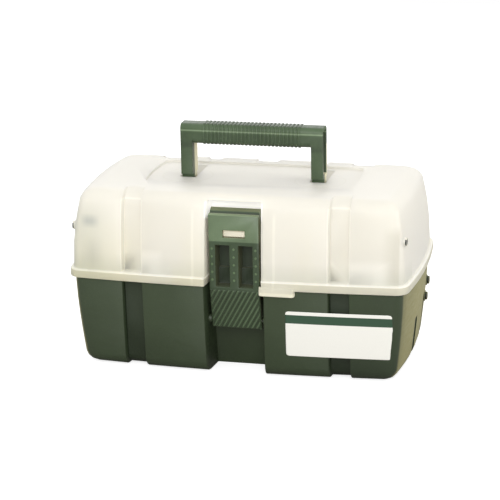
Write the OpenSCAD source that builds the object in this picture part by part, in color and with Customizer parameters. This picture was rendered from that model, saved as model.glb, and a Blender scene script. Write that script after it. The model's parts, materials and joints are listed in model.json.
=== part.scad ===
// Portable tackle box: a tapered tub, a swinging lid over two cantilever trays,
// a front latch and a folding carrying handle.
// X runs to the right, Y to the rear and Z up, from the middle of the bottom.

/* [Tub] */
// Width of the tub at its mouth, between the square corners
tub_w = 355; // [330:1:380]
// Depth of the tub at its mouth, between the square corners
tub_d = 182; // [176:1:190]
// Height of the tub's mouth
tub_h = 106; // [104:0.5:112]
// Thickness of the tub's walls
tub_wall = 2.5; // [2:0.1:3]
// Thickness of the tub's floor
floor_t = 3; // [2:0.1:5]
// How far the ends lean in from the mouth to the floor
end_draft = 8.5; // [4:0.5:12]
// How far the front and rear lean in from the mouth to the floor
front_draft = 5; // [3:0.5:8]
// Radius of the edge round the floor
foot_r = 13; // [8:0.5:16]
// Radius of the upright corners
corner_r = 11; // [10:0.5:18]

/* [Bowed walls] */
// How far the front bows out in the middle
front_bow = 7.9; // [4:0.1:10]
// How far the rear bows out in the middle
rear_bow = 3; // [1:0.1:4]
// How far each end bows out in the middle
side_bow = 6; // [3:0.1:8]

/* [Flutes] */
// Distance of the front flutes from the tub's ends
flute_in = 65.7; // [60:0.1:72]
// Width of the front flutes at the floor
flute_w = 20.8; // [16:0.2:26]
// How much narrower the flutes are at the top of the lid
flute_taper = 1.4; // [0:0.1:4]
// Depth of the front flutes
flute_deep = 8; // [4:0.5:10]
// Depth of the rear flutes at the foot of the lid
rear_flute_low = 3; // [1:0.5:4]
// Depth of the rear flutes at the top of the lid
rear_flute_high = 8; // [4:0.5:9]

/* [Lid] */
// Height of the top of the lid above the tub's mouth
lid_up = 89; // [86:0.5:96]
// Thickness of the lid's walls
lid_wall = 2.2; // [1.8:0.1:2.6]
// How far the lid's walls lean in from the rim band to the rounded edge
lid_draft = 6.5; // [3:0.5:8]
// How far the lid's ends stand out of the tub's ends
lid_end_out = 1.5; // [0:0.1:2.5]
// Radius of the edge round the top of the lid
lid_edge_r = 17; // [12:0.5:20]
// How far the rim band stands out of the lid's wall
band_out = 3.5; // [3:0.1:4.5]
// How far the rim band hangs below the tub's mouth
band_hang = 6.4; // [5:0.1:8]
// Height of the rim band
band_tall = 9.4; // [8.8:0.1:14]
// Gap between the rim band and the tub
band_gap = 0.5; // [0.4:0.1:0.8]
// Width of the thumb tab on the band, beside the latch
tab_w = 38; // [26:1:42]
// How far the thumb tab hangs below the band
tab_drop = 6; // [4:0.5:8]

/* [Latch] */
// Width of the latch
latch_w = 54; // [50:0.5:57]
// How far the latch reaches below the tub's mouth
latch_drop = 56; // [54:0.5:58]
// How far the latch's top lies below the top of the lid
latch_below = 13.5; // [12:0.5:17]
// How far the latch's face stands in front of the tub's mouth
latch_out = 1.5; // [0:0.5:3]
// How far the latch's ribbed foot leans back
foot_back = 8.5; // [6:0.5:9.5]
// Thickness of the latch's panel
latch_t = 3.8; // [3:0.1:4.4]
// Height of the latch's pivot above its lower edge
latch_pivot_up = 8; // [7:0.5:14]
// Radius of the latch's pin
latch_pin_r = 1.6; // [1.2:0.1:2]
// Width of each tall window
window_w = 15.4; // [12:0.2:16.4]
// Height of each tall window
window_h = 46; // [36:1:47]
// Pitch of the slanted ribs
rib_pitch = 5.2; // [4:0.1:7]
// Height of the slanted ribs
rib_up = 0.9; // [0.4:0.1:1.2]

/* [Handle] */
// Overall width of the handle
handle_w = 157; // [145:1:165]
// Height of the grip's top above the lid
handle_up = 57; // [50:1:67]
// Height of the grip's section
grip_h = 22; // [16:0.5:24]
// Depth of the grip's section
grip_d = 22; // [18:0.5:24]
// Width of each leg
leg_w = 13; // [11:0.5:15]
// Number of ribs round the grip
grip_ribs = 26; // [12:1:28]
// Depth of the handle's pivot below the top of the lid
handle_pivot_down = 8; // [7:0.5:9]
// Distance of the handle's pivot behind the middle
handle_pivot_y = 2; // [0:0.5:4]
// Radius of the handle's pins
handle_pin_r = 2.5; // [2:0.1:3]

/* [Trays] */
// Room between the trays and each end of the tub's mouth
tray_end_room = 20.5; // [20.5:0.5:26.5]
// Room between the trays and the front of the tub's mouth
tray_front_room = 32; // [31:0.5:37]
// Room between the trays and the rear of the tub's mouth
tray_rear_room = 30; // [30:0.5:35]
// Height of the lower tray
lower_tray_h = 27.6; // [20:0.1:27.8]
// Height of the upper tray
upper_tray_h = 30; // [22:0.5:31]
// Thickness of the trays' walls
tray_wall = 2; // [1.6:0.1:2.6]
// Number of removable dividers along each half of a tray
dividers = 4; // [2:1:5]
// Thickness of a divider
divider_t = 1.6; // [1.2:0.1:2]

/* [Straps and links] */
// Distance of the rear strap's pivot from the rear of the tub's mouth
strap_in = 17; // [15:0.5:19]
// Depth of the rear strap's pivot below the tub's mouth
strap_down = 42; // [40:0.5:44]
// Distance between the rear and front strap's pivots, each way
strap_apart = 14; // [13:0.5:15]
// Angle of the straps from the horizontal, at rest
strap_angle = 33; // [32:0.5:34]
// Distance from a strap's pivot in the tub to its pivot in the lower tray
lower_reach = 60; // [59:0.5:61]
// Distance from a strap's pivot in the tub to its pivot in the upper tray
upper_reach = 112; // [111:0.5:113]
// Width of a strap and of a lid link
strap_w = 12; // [10:0.5:13]
// Thickness of a strap and of a lid link
strap_t = 2.5; // [2:0.1:2.6]
// Distance of the link's pivot in the lid from the front of the tub's mouth
link_lid_in = 14; // [11:0.5:17]
// Depth of the link's pivot in the lid below the top of the lid
link_lid_down = 42; // [39:0.5:45]
// Distance of the link's pivot in the upper tray from the tray's rear edge
link_tray_in = 43.4; // [42:0.1:45]
// Height of the link's pivot in the upper tray above the tray's floor
link_tray_up = 22.2; // [21:0.1:23]
// Radius of the rivets' shanks
rivet_r = 2.4; // [2:0.1:2.8]

/* [Hinge] */
// Distance of the hinge pin behind the tub's mouth
hinge_out = 7.5; // [7:0.1:9]
// Depth of the hinge pin below the tub's mouth
hinge_down = 4; // [3.6:0.1:4.2]
// Distance of the middle of each hinge from the tub's end
hinge_in = 36.5; // [34.5:0.5:40.5]
// Width of each hinge
hinge_w = 40; // [32:1:42]
// Radius of the hinge's knuckles
knuckle_r = 4; // [3.4:0.1:4]
// Radius of the hinge pins
hinge_pin_r = 1.5; // [1.2:0.1:1.8]

/* [Fits] */
// Radial clearance of a pin that turns
turn_fit = 0.05; // [0.03:0.01:0.1]
// Radial clearance of a pin that is fixed in its hole
fixed_fit = 0.02; // [0.01:0.01:0.05]
// Gap between faces that slide past each other
slide_gap = 0.3; // [0.2:0.05:0.4]
// Radial clearance of the link's loose eye on its rivet in the tray
loose_fit = 1.4; // [1.2:0.1:1.6]

/* [Hidden] */
$fn = 48;

tub_green = [0.20, 0.27, 0.20];
part_green = [0.24, 0.34, 0.25];
milky = [0.93, 0.91, 0.84];
tray_cream = [0.88, 0.84, 0.72];
steel = [0.65, 0.66, 0.66];
dark = [0.16, 0.18, 0.16];

far = 300;                                  // reach of a cutter past the part
over = 1;                                   // how far a cutter stands past a face
sink = 0.5;                                 // how far a joined piece stands in its neighbour
lid_top = tub_h + lid_up;
band_low = tub_h - band_hang;
band_high = band_low + band_tall;
flute_x = tub_w / 2 - flute_in;
draft_power = 1.5;                          // the tub's walls curve in towards the foot
draft_z = band_low;                         // the walls are upright above this height
flute_side = 1;                             // slope of a flute's side, across it
corner_steps = 5;
side_stations = [-0.85, -0.5, -0.17, 0.17, 0.5, 0.85];
foot_steps = 4;
edge_steps = 5;

// rear flutes: distance from the middle and width
rear_flutes = [[0, 23], [tub_w * 0.17, 14], [flute_x - 3.5, 23]];

// latch recess of the tub and pocket of the lid
latch_low = tub_h - latch_drop;
latch_top = lid_top - latch_below;
latch_face = tub_d / 2 + latch_out;
pocket_wall = 1.6;                          // wall of the lid's pocket
pocket_floor = latch_face - 20.7;           // its floor, in front of the middle
pocket_half = latch_w / 2 + 1.4;            // its half width at the floor
pocket_flare = 0.08;                        // widening per millimetre to the front
pocket_rear_z = latch_top + 2.5;            // the ceiling slopes up from here
pocket_front_z = lid_top - 5;
ceiling_y = latch_face - 8.5;
recess_half_top = pocket_half + pocket_wall + slide_gap;
recess_half_low = recess_half_top - 1.5;
recess_floor_top = pocket_floor - pocket_wall - slide_gap;
recess_floor_low = latch_face - 35.5;

// side recesses in the tub's ends: middle, width and top
side_recesses = [[-11, 13, 49], [45, 13, 57]];
side_recess_deep = 1.1;

// latch
latch_back = latch_face - latch_t;
latch_pivot_y = latch_face - foot_back - 4;
latch_pivot_z = latch_low + latch_pivot_up;
barrel_r = 4;
box_deep = 18;                              // depth of the tall windows' boxes
box_step = 4;                               // step in their floors
lip_deep = 14;                              // depth of the pull lip
box_wall = 1.4;
window_low = latch_top - 84;
window_in = 4.75;                           // inner edge of a tall window, from the middle
catch_w = 24;
catch_low = latch_top - 30;
catch_high = latch_top - 21.6;
rib_lean = 29;                              // lean of the ribs from the upright
rib_top = window_low - 3;
foot_lean = atan(foot_back / (rib_top - latch_low));
dot_r = 1.2;
dot_up = 0.7;
dot_low = 7.9;                              // lowest dots above the windows' sills
dot_pitch = 8.5;

// hinge
hinge_y = tub_d / 2 + hinge_out;
hinge_z = tub_h - hinge_down;
hinge_x = tub_w / 2 - hinge_in;

// straps, links and trays: planes across the box
tray_half = tub_w / 2 - tray_end_room;
tray_front = tub_d / 2 - tray_front_room;
tray_rear = tub_d / 2 - tray_rear_room;
ear_t = 3;
ear_x = tray_half + slide_gap;
strap_x = tray_half + ear_t + slide_gap;
link_x = strap_x + strap_t + 3.2;
head_t = 1.4;
head_r = 4.4;
boss_r = 6;
strap_dir = [-cos(strap_angle), sin(strap_angle)];
rear_base = [tub_d / 2 - strap_in, tub_h - strap_down];
front_base = rear_base - [strap_apart, strap_apart];
link_lid = [link_lid_in - tub_d / 2, lid_top - link_lid_down];
pivot_over_floor = 5;                       // rear pivots above the trays' floors
lower_floor = rear_base[1] + lower_reach * strap_dir[1] - pivot_over_floor;
upper_floor = rear_base[1] + upper_reach * strap_dir[1] - pivot_over_floor;
link_tray = [tray_rear - link_tray_in, upper_floor + link_tray_up];

// handle and its seat in the lid's top
handle_top = lid_top + handle_up;
handle_pivot_z = lid_top - handle_pivot_down;
trough_half = handle_w / 2 + 32.5;
trough_front = tub_d / 2 - 55;
trough_rear = tub_d / 2 - 39;
trough_deep = 2.5;
foot_round = 7;                             // radius of the handle's feet
well_r = foot_round + 1.5;
well_wall = 3;
well_side = 2;                              // room beside each foot
leg_mid = handle_w / 2 - leg_w / 2;
neck_top = lid_top + over;

// height at which the lid's wall rests on the tub's mouth
seat_z = tub_h + slide_gap;

// ---------------------------------------------------------------- outlines

// lean of a wall at a height, as a share of its draft
function lean(z) = pow(max(0, draft_z - z) / draft_z, draft_power);

// stations across the front: place, share of the flute's depth, share of the recess's depth;
// the recess is given by its half widths at its floor and at its mouth
function front_stations(fw, recess_half) = let (half = [
        [recess_half[0], 0, 1], [recess_half[1], 0, 0],
        [(recess_half[1] + flute_x - fw) / 2, 0, 0],
        [flute_x - fw - flute_side, 0, 0], [flute_x - fw, 1, 0],
        [flute_x + fw, 1, 0], [flute_x + fw + flute_side, 0, 0]])
    concat([for (i = [len(half) - 1:-1:0]) [-half[i][0], half[i][1], half[i][2]]], [[0, 0, 1]], half);

// stations across the rear, for flutes grown by a wall; weights say which flutes are cut
function rear_half(grow, weights) =
    [for (i = [0:len(rear_flutes) - 1]) let (f = rear_flutes[i], h = f[1] / 2 + grow, k = weights[i])
        each (f[0] == 0 ? [[h, k], [h + flute_side, 0]]
                        : [[f[0] - h - flute_side, 0], [f[0] - h, k], [f[0] + h, k],
                           [f[0] + h + flute_side, 0]])];
function rear_stations(grow, weights) = let (half = rear_half(grow, weights))
    concat([for (i = [len(half) - 1:-1:0]) half[i]], [for (s = half) [-s[0], s[1]]]);

// rounded corner in the quarter with x and v outwards, from the end wall to the long wall
function corner(hw, hd, r, bow) =
    let (sf = 2 * bow / hw, ss = 2 * side_bow / hd,
         v = r * (sqrt(1 + sf * sf) - sf * sqrt(1 + ss * ss)) / (1 - sf * ss),
         u = r * sqrt(1 + ss * ss) - ss * v,
         a0 = atan(ss), a1 = 90 - atan(sf))
    [for (i = [0:corner_steps]) let (a = a0 + (a1 - a0) * i / corner_steps)
        [hw - u + r * cos(a), hd - v + r * sin(a)]];

// closed outline at height z: inset of the ends and of the long walls, depth of the front
// and rear flutes, growth of the flutes inside a wall, which rear flutes are cut, and the
// latch recess: half widths at its floor and mouth, and depth of its floor from the front
function outline(z, in_x, in_y, deep_f, deep_r, grow, r, weights, rec = [[16, 48], 0]) =
    let (hw = tub_w / 2 - in_x, hd = tub_d / 2 - in_y,
         fw = flute_w / 2 - flute_taper / 2 * z / lid_top + grow,
         front = [for (s = front_stations(fw, rec[0]))
             [s[0], -hd - (front_bow - rec[1] * s[2] - front_bow * pow(s[0] / hw, 2)
                 * (rec[1] > 0 ? 1 - s[2] : 1)) + deep_f * s[1], z]],
         fr = corner(hw, hd, r, front_bow),
         br = corner(hw, hd, r, rear_bow),
         n = corner_steps,
         side = [for (k = side_stations) k * (hd - r)],
         rear = [for (s = rear_stations(grow, weights))
             [s[0], hd + rear_bow * (1 - pow(s[0] / hw, 2)) - deep_r * s[1], z]])
    concat(front,
        [for (i = [n:-1:0]) [fr[i][0], -fr[i][1], z]],
        [for (y = side) [hw + side_bow * (1 - pow(y / hd, 2)), y, z]],
        [for (i = [0:n]) [br[i][0], br[i][1], z]],
        rear,
        [for (i = [n:-1:0]) [-br[i][0], br[i][1], z]],
        [for (i = [len(side) - 1:-1:0]) [-hw - side_bow * (1 - pow(side[i] / hd, 2)), side[i], z]],
        [for (i = [0:n]) [-fr[i][0], -fr[i][1], z]]);

// solid through a stack of outlines with equal numbers of points
module loft(rings) {
    n = len(rings[0]);
    m = len(rings);
    polyhedron(
        points = [for (ring = rings) each ring],
        faces = concat([[for (i = [0:n - 1]) i]],
            [for (j = [0:m - 2], i = [0:n - 1]) [j * n + i, (j + 1) * n + i, (j + 1) * n + (i + 1) % n]],
            [for (j = [0:m - 2], i = [0:n - 1])
                [j * n + i, (j + 1) * n + (i + 1) % n, j * n + (i + 1) % n]],
            [[for (i = [n - 1:-1:0]) (m - 1) * n + i]]));
}

// ---------------------------------------------------------------- small shapes

// cylinder along X from x0 to x1 at a place [y, z]
module rod(x0, x1, at, r) {
    translate([x0, at[0], at[1]]) rotate([0, 90, 0]) cylinder(h = x1 - x0, r = r);
}

// profile in Y and Z, extruded along X from x0 to x1
module along_x(x0, x1) {
    translate([x0, 0, 0]) rotate([90, 0, 90]) linear_extrude(height = x1 - x0) children();
}

// box between two corners
module block(a, b) {
    translate(a) cube(b - a);
}

// upright box with round corners
module round_box(a, b, r) {
    block([a[0] + r, a[1], a[2]], [b[0] - r, b[1], b[2]]);
    block([a[0], a[1] + r, a[2]], [b[0], b[1] - r, b[2]]);
    for (x = [a[0] + r, b[0] - r], y = [a[1] + r, b[1] - r])
        translate([x, y, a[2]]) cylinder(h = b[2] - a[2], r = r);
}

// both ends of the box
module both_ends() {
    children();
    mirror([1, 0, 0]) children();
}

// ---------------------------------------------------------------- tub

tub_rear = [0, 0, 1];
lid_rear = [1, 1, 1];

// how far the rounded foot of radius r, standing at z0, draws a wall in at a height
function foot_in(z, z0, r) = z >= z0 + r ? 0 : r - sqrt(r * r - pow(z0 + r - max(z, z0), 2));

// recess for the latch at a height: half widths and depth, moved in by w, for a long wall
// that stands hd in front of the middle
function recess_at(z, w, hd) =
    let (f = z / tub_h, y = recess_floor_low + (recess_floor_top - recess_floor_low) * f - w,
         h = recess_half_low + (recess_half_top - recess_half_low) * f + w)
    [[h, h + pocket_flare * (hd + front_bow - y)], hd + front_bow - y];

// one level of the tub's outer skin, or of its inner skin, moved in by w
function tub_ring(z, extra, w) =
    let (in_y = front_draft * lean(z) + extra + w)
    outline(z, end_draft * lean(z) + extra + w, in_y, flute_deep, rear_flute_low, w,
        max(corner_r - w - extra / 2, 4), tub_rear, recess_at(z, w, tub_d / 2 - in_y));

// ring in the floor just inside the flutes and the recess, matched point by point to the skin
floor_end_in = 10;
floor_front_in = 4;
function floor_ring(z, extra, w) =
    outline(z, end_draft * lean(z) + extra + w + floor_end_in,
        tub_d / 2 + front_bow - recess_floor_low + w + floor_front_in, 0, 0, w,
        max(corner_r - w - extra / 2, 4), tub_rear,
        [recess_at(z, w, tub_d / 2 - front_draft * lean(z) - extra - w)[0], 0]);

foot_angles = [for (i = [0:foot_steps]) 90 * i / foot_steps];
wall_levels = [for (k = [0.22, 0.38, 0.56, 0.76, 1]) k * draft_z];
function skin(z0, r, w) = concat([floor_ring(z0, r, w)],
    [for (a = foot_angles) tub_ring(z0 + r * (1 - cos(a)), r * (1 - sin(a)), w)],
    [for (z = wall_levels) tub_ring(z, 0, w)], [tub_ring(tub_h, 0, w)]);

// the open tub in one skin: up the outside, over the mouth and down the inside
module tub_body() {
    inside = skin(floor_t, foot_r - tub_wall, tub_wall);
    loft(concat(skin(0, foot_r, 0), [for (i = [len(inside) - 1:-1:0]) inside[i]]));
}

// outer face of an end wall at a place
function end_x(y, z) = tub_w / 2 - end_draft * lean(z) - foot_in(z, 0, foot_r)
    + side_bow * (1 - pow(2 * y / tub_d, 2));

// shallow upright recesses in the end walls, open at the foot
module end_recesses() {
    both_ends() for (s = side_recesses)
        translate([0, s[0] + s[1] / 2, 0]) rotate([90, 0, 0]) linear_extrude(height = s[1])
            polygon(concat([for (z = [-over, 1, 4, 8, foot_r, 22, 34, s[2]])
                [end_x(s[0], z) - side_recess_deep, z]], [[far, s[2]], [far, -over]]));
}

// one tub knuckle in profile, joined to the rear wall
module tub_knuckle_profile() {
    translate([hinge_y, hinge_z]) circle(knuckle_r);
    wall_y = tub_d / 2 - over;
    foot_z = hinge_z - knuckle_r - 3;
    polygon([[wall_y, foot_z], [wall_y, hinge_z + knuckle_r - sink],
             [hinge_y, hinge_z + knuckle_r - sink], [hinge_y, hinge_z - knuckle_r],
             [wall_y + 3, foot_z]]);
}

knuckle_w = hinge_w * 0.3;
module tub_knuckles() {
    both_ends() {
        along_x(hinge_x - hinge_w / 2, hinge_x - hinge_w / 2 + knuckle_w) tub_knuckle_profile();
        along_x(hinge_x + hinge_w / 2 - knuckle_w, hinge_x + hinge_w / 2) tub_knuckle_profile();
    }
}

latch_pivot = [-latch_pivot_y, latch_pivot_z];
latch_lug_x = latch_w / 2 + 0.5;            // play of the latch between its lugs
latch_lug_r = 4.5;
latch_pin_half = latch_lug_x + 6;
base_boss_x = strap_x + strap_t + slide_gap;
base_pad_x = tub_w / 2 + 1.3;

module base_tub() color(tub_green) {
    difference() {
        union() {
            difference() {
                tub_body();
                end_recesses();
            }
            tub_knuckles();
            both_ends() {
                rod(latch_lug_x, latch_pin_half + tub_wall, latch_pivot, latch_lug_r);
                for (p = [rear_base, front_base]) rod(base_boss_x, base_pad_x, p, boss_r);
            }
        }
        both_ends() {
            rod(hinge_x - hinge_w, hinge_x + hinge_w, [hinge_y, hinge_z], hinge_pin_r + fixed_fit);
            rod(0, latch_pin_half + 0.2, latch_pivot, latch_pin_r + fixed_fit);
            for (p = [rear_base, front_base]) rod(base_boss_x - 5, far, p, rivet_r + fixed_fit);
        }
    }
}

// ---------------------------------------------------------------- lid

edge_z = lid_top - lid_edge_r;              // where the lid's rounded edge begins
lean_power = 2.2;                           // the lid's walls curve in towards the top
function lid_lean(z) = lid_draft * pow(max(0, z - band_high) / (edge_z - band_high), lean_power);
function rear_deep(z) = rear_flute_low + (rear_flute_high - rear_flute_low)
    * (z - band_high) / (lid_top - band_high);
function wall_ring(z, extra, w) = outline(z, lid_lean(min(z, edge_z)) + extra + w - lid_end_out,
    lid_lean(min(z, edge_z)) + extra + w, flute_deep, rear_deep(z), w,
    max(corner_r - w, 4), lid_rear);
function band_ring(z, out) = outline(z, -out - lid_end_out, -out, 0, 0, 0, corner_r + out, lid_rear);
function edge_rings(r, w) = [for (i = [0:edge_steps]) let (a = 90 * i / edge_steps)
    wall_ring(edge_z + r * sin(a), r * (1 - cos(a)), w)];

// flat of the lid's top just inside its flutes, then the edge of the seat under the handle,
// both matched point by point to the lid's outline
top_in = lid_draft + lid_edge_r + max(flute_deep, rear_flute_high) + 1;
function flat_ring(z, w) = outline(z, top_in, top_in, 0, 0, w, corner_r, lid_rear);
function seat_ring(z, g) =
    let (k = [(trough_half + g) * 2 / tub_w, (trough_front + trough_rear + 2 * g) / tub_d])
    [for (p = outline(z, 0, 0, 0, 0, 0, corner_r, lid_rear))
        [p[0] * k[0], (trough_rear - trough_front) / 2 + p[1] * k[1], z]];
function seat_rings(g) = [flat_ring(lid_top - g, g), seat_ring(lid_top - g, g),
    seat_ring(lid_top - trough_deep - g, g)];

band_round = 1.4;                           // bevel of the band's upper edge
function mid_rings(w) = [for (k = [0.4, 0.7, 0.87]) wall_ring(band_high + k * (edge_z - band_high), 0, w)];
module lid_outer() {
    loft(concat([band_ring(band_low, band_out), band_ring(band_high - band_round, band_out),
        band_ring(band_high, band_out - band_round), wall_ring(band_high + 0.4, 0, 0),
        each mid_rings(0)], edge_rings(lid_edge_r, 0), seat_rings(0)));
}
module lid_inner() {
    loft(concat([band_ring(band_low - 5, band_gap), band_ring(seat_z, band_gap),
        wall_ring(seat_z + 0.1, 0, lid_wall), each mid_rings(lid_wall)],
        edge_rings(lid_edge_r - lid_wall, lid_wall), seat_rings(lid_wall)));
}

// pocket for the latch, grown by g into the lid
function pocket_ring(z, floor_y, g) =
    let (h = pocket_half + g, front = tub_d, hf = h + pocket_flare * (front - floor_y))
    [[-hf, -front, z], [hf, -front, z], [h, -floor_y + g, z], [-h, -floor_y + g, z]];
module pocket(g) {
    loft([pocket_ring(band_low - 6, pocket_floor, g), pocket_ring(pocket_rear_z + g, pocket_floor, g),
          pocket_ring(pocket_front_z + g, ceiling_y, g)]);
}

// profile of the well that each handle foot turns in, grown by g
fold_line = [[handle_pivot_y + 14, handle_pivot_z - 8], [trough_rear - 8, lid_top - trough_deep - sink]];
module well_profile(g) {
    translate([handle_pivot_y, handle_pivot_z]) circle(well_r + g);
    polygon([[handle_pivot_y - well_r - g, handle_pivot_z], [handle_pivot_y - well_r - g, lid_top + 4],
             [fold_line[1][0] + 4 + g, lid_top + 4], [fold_line[1][0] + g, fold_line[1][1]],
             [fold_line[0][0], fold_line[0][1] - g],
             [handle_pivot_y, handle_pivot_z - well_r - g]]);
}
well_half = leg_w / 2 + well_side;
module wells(g) {
    both_ends() along_x(leg_mid - well_half - (g > 0 ? well_wall : 0),
        leg_mid + well_half + (g > 0 ? well_wall : 0)) well_profile(g);
}

// one lid knuckle in profile, joined to the rim band
module lid_knuckle_profile() {
    translate([hinge_y, hinge_z]) circle(knuckle_r);
    y0 = tub_d / 2 + band_gap + 2;
    polygon([[hinge_y - knuckle_r, hinge_z], [y0, hinge_z + knuckle_r], [y0, band_high - 1],
             [y0 + 2, band_high - 1], [hinge_y + knuckle_r, hinge_z]]);
}

tab_low = band_low - tab_drop;
tab_r = 3.5;
tab_front = tub_d / 2 + front_bow + band_out + 1.8;
module thumb_tab() {
    x0 = latch_w / 2 + 1.2;
    intersection() {
        round_box([x0, -tab_front, tab_low], [x0 + tab_w, -tub_d / 2, band_low + 3], tab_r);
        difference() {
            block([x0, -tab_front, tab_low], [x0 + tab_w, -tub_d / 2, band_low + 3]);
            loft([band_ring(tab_low - 1, band_gap), band_ring(band_low + 4, band_gap)]);
        }
    }
}

// the catch that the latch's small window shows
module latch_catch() {
    nose = -(latch_back - slide_gap);
    along_x(-catch_w / 2, catch_w / 2)
        polygon([[-pocket_floor + 1, catch_low - 3], [nose, catch_low + 0.5], [nose, catch_high - 1.5],
                 [-pocket_floor + 1, catch_high + 2]]);
}

link_boss_x = link_x + strap_t + slide_gap;
link_pad_x = tub_w / 2 + lid_end_out - lid_lean(link_lid[1])
    + side_bow * (1 - pow(2 * link_lid[0] / tub_d, 2)) + 0.8;
knuckle_gap = 0.4;                          // play between neighbouring knuckles

module lid_shell() color(milky) {
    difference() {
        union() {
            difference() {
                lid_outer();
                pocket(0);
                wells(0);
                difference() {
                    lid_inner();
                    pocket(pocket_wall);
                    wells(lid_wall);
                }
                // the band stops short of the hinge line along the rear
                block([-tub_w / 2 + corner_r, tub_d / 2 - 2, band_low - 1],
                      [tub_w / 2 - corner_r, far, hinge_z + 0.5]);
                both_ends() for (x = [hinge_x - hinge_w / 2, hinge_x + hinge_w / 2 - knuckle_w])
                    block([x - knuckle_gap, tub_d / 2 - 1, band_low - 1],
                          [x + knuckle_w + knuckle_gap, far, seat_z]);
            }
            both_ends() {
                along_x(hinge_x - hinge_w / 2 + knuckle_w + knuckle_gap,
                        hinge_x + hinge_w / 2 - knuckle_w - knuckle_gap) lid_knuckle_profile();
                rod(link_boss_x, link_pad_x, link_lid, boss_r - 1);
            }
            thumb_tab();
            latch_catch();
        }
        both_ends() {
            rod(hinge_x - hinge_w, hinge_x + hinge_w, [hinge_y, hinge_z], hinge_pin_r + turn_fit);
            rod(link_boss_x - 5, far, link_lid, rivet_r + fixed_fit);
            rod(leg_mid - handle_pin_half, leg_mid + handle_pin_half, handle_pivot,
                handle_pin_r + fixed_fit);
        }
    }
}

module hinge_pins() color(steel)
    both_ends() rod(hinge_x - hinge_w / 2 - 0.6, hinge_x + hinge_w / 2 + 0.6, [hinge_y, hinge_z],
        hinge_pin_r);

// ---------------------------------------------------------------- latch

// the ribbed foot stands in a frame that leans back from the panel's lower edge
foot_long = (rib_top - latch_low) / cos(foot_lean);
module leaning() {
    translate([0, -latch_face, rib_top]) rotate([foot_lean, 0, 0]) children();
}
module slanted_ribs() {
    intersection() {
        block([-latch_w / 2 + 1, -rib_up, -foot_long + 1], [latch_w / 2 - 1, rib_up, -0.6]);
        for (x = [-latch_w:rib_pitch:latch_w])
            translate([x, -rib_up, -foot_long / 2]) rotate([0, rib_lean, 0])
                translate([-rib_pitch * 0.27, 0, -foot_long])
                    cube([rib_pitch * 0.54, 2 * rib_up, 2 * foot_long]);
    }
}

// panel in Y and Z: the foot that leans back, the upright face, and the pull lip on top
// with a step, a finger groove and a ridge behind it
module latch_profile() {
    translate([-latch_face, latch_top]) polygon([
        [foot_back, latch_low - latch_top], [0, rib_top - latch_top], [0, -5.6], [0.8, -5],
        [4.6, -4.4], [5.6, -6.4], [8, -2.6], [lip_deep - 1, 0], [lip_deep, -1], [lip_deep, -9],
        [latch_t, -9], [latch_t, rib_top - latch_top + latch_t * tan(foot_lean / 2)],
        [foot_back + latch_t * cos(foot_lean), latch_low - latch_top + latch_t * sin(foot_lean)]]);
}

// middle of each tall window, and the columns of dots beside them
window_x = window_in + window_w / 2;
dot_x = (latch_w / 2 + window_in + window_w) / 2;

module latch() color(part_green) {
    difference() {
        union() {
            along_x(-latch_w / 2, latch_w / 2) latch_profile();
            leaning() slanted_ribs();
            // side flanges
            for (s = [-1, 1])
                block([s * (latch_w / 2 - 1) - 1, -latch_face + 1, window_low - 2],
                      [s * (latch_w / 2 - 1) + 1, -latch_face + lip_deep - 1, latch_top - 5]);
            // boxes behind the tall windows
            for (s = [-1, 1])
                block([s * window_x - window_w / 2 - box_wall, -latch_back - 1, window_low - box_wall],
                      [s * window_x + window_w / 2 + box_wall, -latch_face + box_deep + box_wall,
                       window_low + window_h + box_wall]);
            rod(-latch_w / 2, latch_w / 2, latch_pivot, barrel_r);
            for (x = [-1, 0, 1], i = [0:4])
                translate([x * dot_x, -latch_face + sink, window_low + dot_low + i * dot_pitch])
                    rotate([90, 0, 0]) cylinder(h = sink + dot_up, r = dot_r, $fn = 16);
        }
        // small window over the lid's catch
        block([-catch_w / 2, -latch_face - over, catch_low], [catch_w / 2, -latch_back + over, catch_high]);
        // tall windows, deeper above the step
        for (s = [-1, 1]) {
            block([s * window_x - window_w / 2, -latch_face - over, window_low],
                  [s * window_x + window_w / 2, -latch_face + box_deep - box_step,
                   window_low + window_h]);
            block([s * window_x - window_w / 2, -latch_face - over, window_low + 18],
                  [s * window_x + window_w / 2, -latch_face + box_deep, window_low + window_h]);
        }
        rod(-latch_w, latch_w, latch_pivot, latch_pin_r + turn_fit);
    }
}

module latch_pin() color(steel) rod(-latch_pin_half, latch_pin_half, latch_pivot, latch_pin_r);

// ---------------------------------------------------------------- handle

handle_pivot = [handle_pivot_y, handle_pivot_z];
handle_pin_half = well_half + well_wall - 0.5;
grip_mid_z = handle_top - grip_h / 2;
grip_round = 6;
rib_grow = 0.8;

// the grip's section in Y and Z, grown by g
module grip_section(g) {
    translate([handle_pivot_y, grip_mid_z]) {
        square([grip_d + 2 * g, grip_h - 2 * grip_round], center = true);
        square([grip_d - 2 * grip_round, grip_h + 2 * g], center = true);
        for (y = [-1, 1], z = [-1, 1])
            translate([y * (grip_d / 2 - grip_round), z * (grip_h / 2 - grip_round)])
                circle(grip_round + g, $fn = 32);
    }
}

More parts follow.
